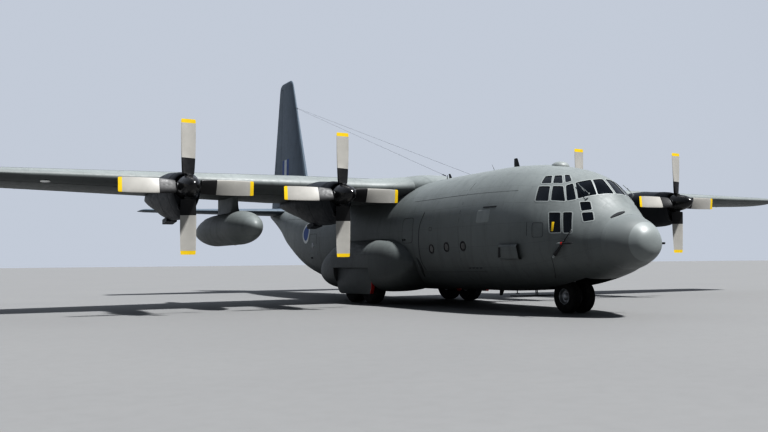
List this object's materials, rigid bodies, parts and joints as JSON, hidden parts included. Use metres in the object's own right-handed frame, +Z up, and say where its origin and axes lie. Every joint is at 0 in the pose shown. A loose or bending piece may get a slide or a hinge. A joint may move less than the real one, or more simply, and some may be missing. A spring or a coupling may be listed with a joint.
{
  "type": "military transport plane scale model",
  "caption": "High-wing military transport plane scale model with turning propellers, steerable nose wheels, moving control surfaces, crew door, rear cargo door and cargo ramp.",
  "frame": {"origin": "on the ground, under the middle of the length and on the plane's middle line", "axes": "+Z up, -Y towards the nose, +X to the plane's left (port) side"},
  "size_m": [20.205, 14.895, 5.83],
  "materials": {
    "skin": "matte",
    "tail_skin": "matte",
    "radome": "matte",
    "nacelle": "matte",
    "engine": "satin",
    "propeller": "satin",
    "glazing": "gloss",
    "interior": "matte",
    "seat": "matte",
    "gear_steel": "satin",
    "tyre": "matte",
    "wheel": "satin"
  },
  "bodies": {
    "airframe": {"nose_radome": "radome", "cockpit_shell": "skin", "cockpit_glazing": "glazing", "flight_deck_floor": "interior", "instrument_panel": "interior", "pilot_seat": "seat", "copilot_seat": "seat", "cargo_hold_shell": "skin", "cargo_floor": "interior", "rear_fuselage_shell": "skin", "tail_cone": "skin", "gear_fairing_left": "skin", "gear_fairing_right": "skin", "wing_centre": "skin", "wing_left": "skin", "wing_right": "skin", "fin": "tail_skin", "tailplane": "tail_skin", "nacelle_inner_left": "nacelle", "engine_inner_left": "engine", "nacelle_inner_right": "nacelle", "engine_inner_right": "engine", "nacelle_outer_left": "nacelle", "engine_outer_left": "engine", "nacelle_outer_right": "nacelle", "engine_outer_right": "engine", "underwing_tank_left": "skin", "main_gear_legs_left": "gear_steel", "main_gear_door_left": "skin", "underwing_tank_right": "skin", "main_gear_legs_right": "gear_steel", "main_gear_door_right": "skin", "nose_gear_leg": "gear_steel", "nose_gear_door": "skin"},
    "propeller_inner_left": {"propeller_inner_left": "propeller"},
    "propeller_inner_right": {"propeller_inner_right": "propeller"},
    "propeller_outer_left": {"propeller_outer_left": "propeller"},
    "propeller_outer_right": {"propeller_outer_right": "propeller"},
    "main_wheel_front_left": {"main_tyre_front_left": "tyre", "main_wheel_front_left": "wheel"},
    "main_wheel_front_right": {"main_tyre_front_right": "tyre", "main_wheel_front_right": "wheel"},
    "main_wheel_rear_left": {"main_tyre_rear_left": "tyre", "main_wheel_rear_left": "wheel"},
    "main_wheel_rear_right": {"main_tyre_rear_right": "tyre", "main_wheel_rear_right": "wheel"},
    "nose_fork": {"nose_gear_fork": "gear_steel"},
    "nose_wheels": {"nose_wheels": "tyre"},
    "crew_door": {"crew_door": "skin"},
    "cargo_ramp": {"cargo_ramp": "skin"},
    "rear_cargo_door": {"rear_cargo_door": "skin"},
    "rudder": {"rudder": "tail_skin"},
    "elevator_left": {"elevator_left": "tail_skin"},
    "elevator_right": {"elevator_right": "tail_skin"},
    "aileron_left": {"aileron_left": "skin"},
    "aileron_right": {"aileron_right": "skin"},
    "flap_outer_left": {"flap_outer_left": "skin"},
    "flap_outer_right": {"flap_outer_right": "skin"},
    "flap_inner_left": {"flap_inner_left": "skin"},
    "flap_inner_right": {"flap_inner_right": "skin"}
  },
  "joints": [
    {"name": "propeller_inner_left_spin", "type": "hinge", "parent": "airframe", "child": "propeller_inner_left", "pos_m": [2.5025, -3.0725, 1.9], "axis": [0, 1, 0], "continuous": true},
    {"name": "propeller_inner_right_spin", "type": "hinge", "parent": "airframe", "child": "propeller_inner_right", "pos_m": [-2.5025, -3.0725, 1.9], "axis": [0, 1, 0], "continuous": true},
    {"name": "propeller_outer_left_spin", "type": "hinge", "parent": "airframe", "child": "propeller_outer_left", "pos_m": [5.0665, -3.0725, 1.95], "axis": [0, 1, 0], "continuous": true},
    {"name": "propeller_outer_right_spin", "type": "hinge", "parent": "airframe", "child": "propeller_outer_right", "pos_m": [-5.0665, -3.0725, 1.95], "axis": [0, 1, 0], "continuous": true},
    {"name": "main_wheel_front_left_spin", "type": "hinge", "parent": "airframe", "child": "main_wheel_front_left", "pos_m": [1.085, -1.3275, 0.355], "axis": [1, 0, 0], "continuous": true},
    {"name": "main_wheel_front_right_spin", "type": "hinge", "parent": "airframe", "child": "main_wheel_front_right", "pos_m": [-1.085, -1.3275, 0.355], "axis": [1, 0, 0], "continuous": true},
    {"name": "main_wheel_rear_left_spin", "type": "hinge", "parent": "airframe", "child": "main_wheel_rear_left", "pos_m": [1.085, -0.5625, 0.355], "axis": [1, 0, 0], "continuous": true},
    {"name": "main_wheel_rear_right_spin", "type": "hinge", "parent": "airframe", "child": "main_wheel_rear_right", "pos_m": [-1.085, -0.5625, 0.355], "axis": [1, 0, 0], "continuous": true},
    {"name": "nose_steering", "type": "hinge", "parent": "airframe", "child": "nose_fork", "pos_m": [0, -5.8325, 0.3], "axis": [0, 0, 1], "range_deg": [-60, 60]},
    {"name": "nose_wheels_spin", "type": "hinge", "parent": "nose_fork", "child": "nose_wheels", "pos_m": [0, -5.8325, 0.2475], "axis": [1, 0, 0], "continuous": true},
    {"name": "crew_door_hinge", "type": "hinge", "parent": "airframe", "child": "crew_door", "pos_m": [0.78968, -5.4375, 0.54], "axis": [0.1598, 0.9871, 0], "range_deg": [0, 112]},
    {"name": "cargo_ramp_hinge", "type": "hinge", "parent": "airframe", "child": "cargo_ramp", "pos_m": [0, 1.3725, 0.37], "axis": [-1, 0, 0], "range_deg": [0, 23]},
    {"name": "rear_cargo_door_hinge", "type": "hinge", "parent": "airframe", "child": "rear_cargo_door", "pos_m": [0, 4.1875, 1.2275], "axis": [-1, 0, 0], "range_deg": [0, 48]},
    {"name": "rudder_hinge", "type": "hinge", "parent": "airframe", "child": "rudder", "pos_m": [0, 6.52173, 2.36], "axis": [0, -0.0441, 0.999], "range_deg": [-30, 30]},
    {"name": "elevator_left_hinge", "type": "hinge", "parent": "airframe", "child": "elevator_left", "pos_m": [0.36, 6.42571, 2.165], "axis": [1, -0.0064, 0], "range_deg": [-20, 30]},
    {"name": "elevator_right_hinge", "type": "hinge", "parent": "airframe", "child": "elevator_right", "pos_m": [-0.36, 6.42571, 2.165], "axis": [1, 0.0064, 0], "range_deg": [-20, 30]},
    {"name": "aileron_left_hinge", "type": "hinge", "parent": "airframe", "child": "aileron_left", "pos_m": [6.195, -0.35548, 2.11944], "axis": [0.9965, -0.0828, 0.0136], "range_deg": [-20, 20]},
    {"name": "aileron_right_hinge", "type": "hinge", "parent": "airframe", "child": "aileron_right", "pos_m": [-6.195, -0.35548, 2.11944], "axis": [0.9965, 0.0828, -0.0136], "range_deg": [-20, 20]},
    {"name": "flap_outer_left_hinge", "type": "hinge", "parent": "airframe", "child": "flap_outer_left", "pos_m": [2.865, -0.07891, 1.88406], "axis": [-0.9965, 0.0828, -0.0136], "range_deg": [0, 36]},
    {"name": "flap_outer_right_hinge", "type": "hinge", "parent": "airframe", "child": "flap_outer_right", "pos_m": [-2.865, -0.07891, 1.88406], "axis": [-0.9965, -0.0828, 0.0136], "range_deg": [0, 36]},
    {"name": "flap_inner_left_hinge", "type": "hinge", "parent": "airframe", "child": "flap_inner_left", "pos_m": [1.165, -0.0731, 1.8231], "axis": [-1, 0, 0], "range_deg": [0, 36]},
    {"name": "flap_inner_right_hinge", "type": "hinge", "parent": "airframe", "child": "flap_inner_right", "pos_m": [-1.165, -0.0731, 1.8231], "axis": [-1, 0, 0], "range_deg": [0, 36]}
  ],
  "couplings": [
    {"joint": "elevator_right_hinge", "follows": "elevator_left_hinge", "ratio": 1},
    {"joint": "aileron_right_hinge", "follows": "aileron_left_hinge", "ratio": -1},
    {"joint": "flap_outer_right_hinge", "follows": "flap_outer_left_hinge", "ratio": 1},
    {"joint": "flap_inner_left_hinge", "follows": "flap_outer_left_hinge", "ratio": 1},
    {"joint": "flap_inner_right_hinge", "follows": "flap_outer_left_hinge", "ratio": 1}
  ]
}
